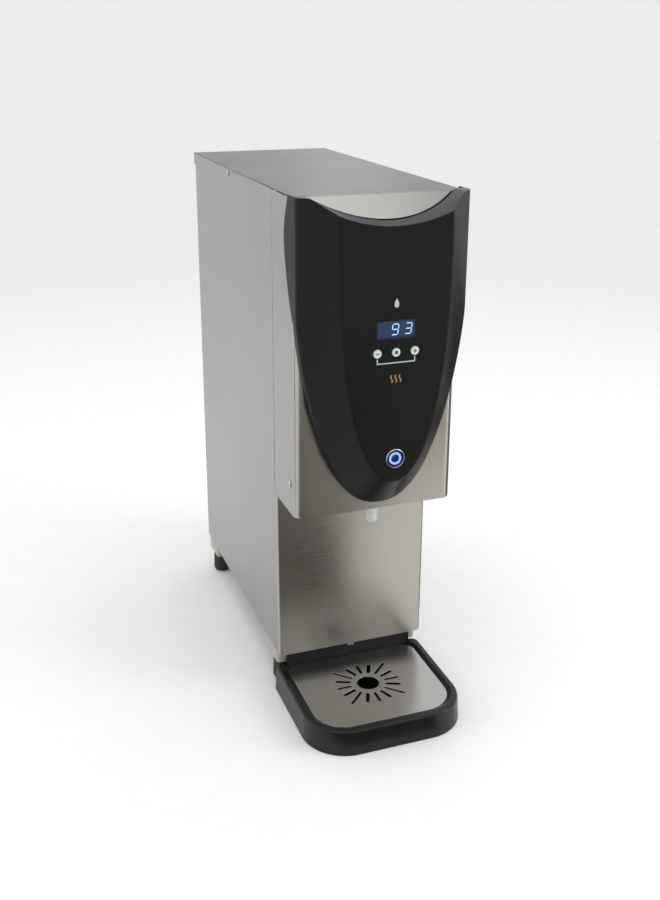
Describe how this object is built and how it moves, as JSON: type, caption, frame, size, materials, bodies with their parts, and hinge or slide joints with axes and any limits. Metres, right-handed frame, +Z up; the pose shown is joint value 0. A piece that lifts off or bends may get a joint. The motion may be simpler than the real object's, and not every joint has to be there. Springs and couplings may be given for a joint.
{
  "type": "countertop water dispenser",
  "caption": "Slim countertop hot-water dispenser: steel cabinet and hood with a black shield-shaped control fascia over a drip tray.",
  "frame": {"origin": "bottom centre of the whole object, on the counter", "axes": "+Z up, front of the dispenser towards -Y, +X to the right of someone facing the front"},
  "size_m": [0.186, 0.515, 0.5915],
  "materials": {
    "cabinet_steel": "fine brushed stainless steel",
    "inner_steel": "plain mill finish",
    "leg_paint": "satin cream paint",
    "screw_steel": "bright",
    "fascia_plastic": "moulded satin black",
    "hard_plastic": "black",
    "foot_rubber": "moulded",
    "button_chrome": "polished",
    "display_window": "tinted window with a lit two-digit reading",
    "light_ring": "translucent, lit blue",
    "key_plastic": "pale membrane keys",
    "clear_plastic": "translucent",
    "board_green": "circuit board",
    "brass": "machined",
    "insulation_foam": "closed-cell foam",
    "silicone": "food-grade silicone",
    "valve_nylon": "natural nylon"
  },
  "bodies": {
    "cabinet": {"left_side_panel": "cabinet_steel", "right_side_panel": "cabinet_steel", "back_panel": "cabinet_steel", "splash_panel": "cabinet_steel", "top_lid": "cabinet_steel", "hood_wrap": "cabinet_steel", "hood_underplate": "cabinet_steel", "base_pan": "inner_steel", "water_tank": "inner_steel", "tank_stand": "inner_steel", "tank_lid": "inner_steel", "temperature_probe": "inner_steel", "level_probe": "inner_steel", "heating_element": "inner_steel", "corner_leg_front_left": "leg_paint", "corner_leg_front_right": "leg_paint", "corner_leg_rear_left": "leg_paint", "corner_leg_rear_right": "leg_paint", "lid_screw_left": "screw_steel", "lid_screw_right": "screw_steel", "hood_screw_left": "screw_steel", "hood_screw_right": "screw_steel", "back_screw_1": "screw_steel", "back_screw_2": "screw_steel", "back_screw_3": "screw_steel", "back_screw_4": "screw_steel", "front_fascia": "fascia_plastic", "display_module": "hard_plastic", "push_button_contact_block": "hard_plastic", "limit_thermostat": "hard_plastic", "terminal_block": "hard_plastic", "cord_gland": "hard_plastic", "drain_plug": "hard_plastic", "power_switch_frame": "hard_plastic", "push_button_bezel": "button_chrome", "display_lens": "display_window", "spout_nozzle": "clear_plastic", "control_board": "board_green", "power_board": "board_green", "push_button_nut": "brass", "inlet_fitting": "brass", "tank_insulation": "insulation_foam", "tank_gasket": "silicone", "fill_tube": "silicone", "drain_tube": "silicone", "outlet_tube": "silicone", "inlet_valve": "valve_nylon", "dispense_valve": "valve_nylon"},
    "dispense_button": {"dispense_button": "button_chrome", "button_light_ring": "light_ring"},
    "minus_key": {"minus_key": "key_plastic"},
    "stop_key": {"stop_key": "key_plastic"},
    "plus_key": {"plus_key": "key_plastic"},
    "power_rocker": {"power_rocker": "hard_plastic"},
    "drip_tray": {"drip_tray": "fascia_plastic"},
    "drip_grid": {"drip_grid": "cabinet_steel"},
    "levelling_foot_front_left": {"levelling_foot_front_left": "foot_rubber"},
    "levelling_foot_front_right": {"levelling_foot_front_right": "foot_rubber"},
    "levelling_foot_rear_left": {"levelling_foot_rear_left": "foot_rubber"},
    "levelling_foot_rear_right": {"levelling_foot_rear_right": "foot_rubber"}
  },
  "joints": [
    {"name": "dispense_button_press", "type": "slide", "parent": "cabinet", "child": "dispense_button", "axis": [0, 1, 0], "range_m": [0, 0.0025], "stiffness_N_per_m": 600},
    {"name": "minus_key_press", "type": "slide", "parent": "cabinet", "child": "minus_key", "axis": [0, 1, 0], "range_m": [0, 0.0005], "stiffness_N_per_m": 1500},
    {"name": "stop_key_press", "type": "slide", "parent": "cabinet", "child": "stop_key", "axis": [0, 1, 0], "range_m": [0, 0.0005], "stiffness_N_per_m": 1500},
    {"name": "plus_key_press", "type": "slide", "parent": "cabinet", "child": "plus_key", "axis": [0, 1, 0], "range_m": [0, 0.0005], "stiffness_N_per_m": 1500},
    {"name": "power_rocker_tilt", "type": "hinge", "parent": "cabinet", "child": "power_rocker", "pos_m": [-0.05, 0.2325, 0.14], "axis": [1, 0, 0], "range_deg": [0, 14]},
    {"name": "drip_tray_slide", "type": "slide", "parent": "cabinet", "child": "drip_tray", "axis": [0, -1, 0], "range_m": [0, 0.17]},
    {"name": "drip_grid_lift", "type": "slide", "parent": "drip_tray", "child": "drip_grid", "axis": [0, -0.3162, 0.9487], "range_m": [0, 0.1]},
    {"name": "levelling_foot_front_left_screw", "type": "slide", "parent": "cabinet", "child": "levelling_foot_front_left", "axis": [0, 0, -1], "range_m": [0, 0.01]},
    {"name": "levelling_foot_front_right_screw", "type": "slide", "parent": "cabinet", "child": "levelling_foot_front_right", "axis": [0, 0, -1], "range_m": [0, 0.01]},
    {"name": "levelling_foot_rear_left_screw", "type": "slide", "parent": "cabinet", "child": "levelling_foot_rear_left", "axis": [0, 0, -1], "range_m": [0, 0.01]},
    {"name": "levelling_foot_rear_right_screw", "type": "slide", "parent": "cabinet", "child": "levelling_foot_rear_right", "axis": [0, 0, -1], "range_m": [0, 0.01]}
  ]
}
